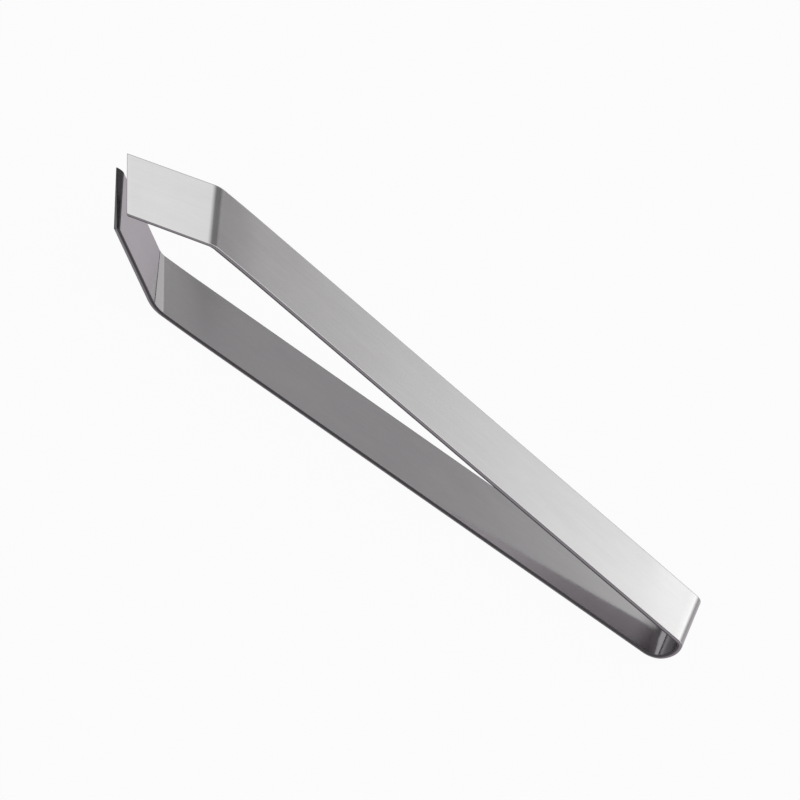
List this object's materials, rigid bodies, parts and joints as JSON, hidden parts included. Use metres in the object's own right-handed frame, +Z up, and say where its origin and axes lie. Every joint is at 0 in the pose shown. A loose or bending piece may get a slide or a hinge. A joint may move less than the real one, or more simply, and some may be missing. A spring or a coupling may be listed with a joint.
{
  "type": "fish bone tweezers",
  "caption": "Sprung tweezers folded from one flat satin steel strip, with broad slanted jaws folded inward for pulling fish bones.",
  "frame": {"origin": "the middle of the underside of the tool's box, as it lies on its lower arm", "axes": "+X along the lower arm from the bow to the tips, +Y across the strip, +Z up through the lower arm"},
  "size_m": [0.1192, 0.0118, 0.0233],
  "materials": {
    "satin_steel": "satin, fine brushing along the strip"
  },
  "bodies": {
    "rear_bow": {"rear_bow": "satin_steel"},
    "upper_arm": {"upper_arm": "satin_steel", "upper_jaw": "satin_steel"},
    "lower_arm": {"lower_arm": "satin_steel", "lower_jaw": "satin_steel"}
  },
  "joints": [
    {"name": "upper_flex", "type": "hinge", "parent": "rear_bow", "child": "upper_arm", "pos_m": [-0.04139, 0.00083, 0.0102], "axis": [0, 1, 0], "range_deg": [0, 1.12], "stiffness_Nm_per_rad": 8},
    {"name": "lower_flex", "type": "hinge", "parent": "rear_bow", "child": "lower_arm", "pos_m": [-0.04067, 0.00083, 0.00045], "axis": [0, -1, 0], "range_deg": [0, 1.12]}
  ],
  "couplings": [
    {"joint": "lower_flex", "follows": "upper_flex", "ratio": 1}
  ]
}
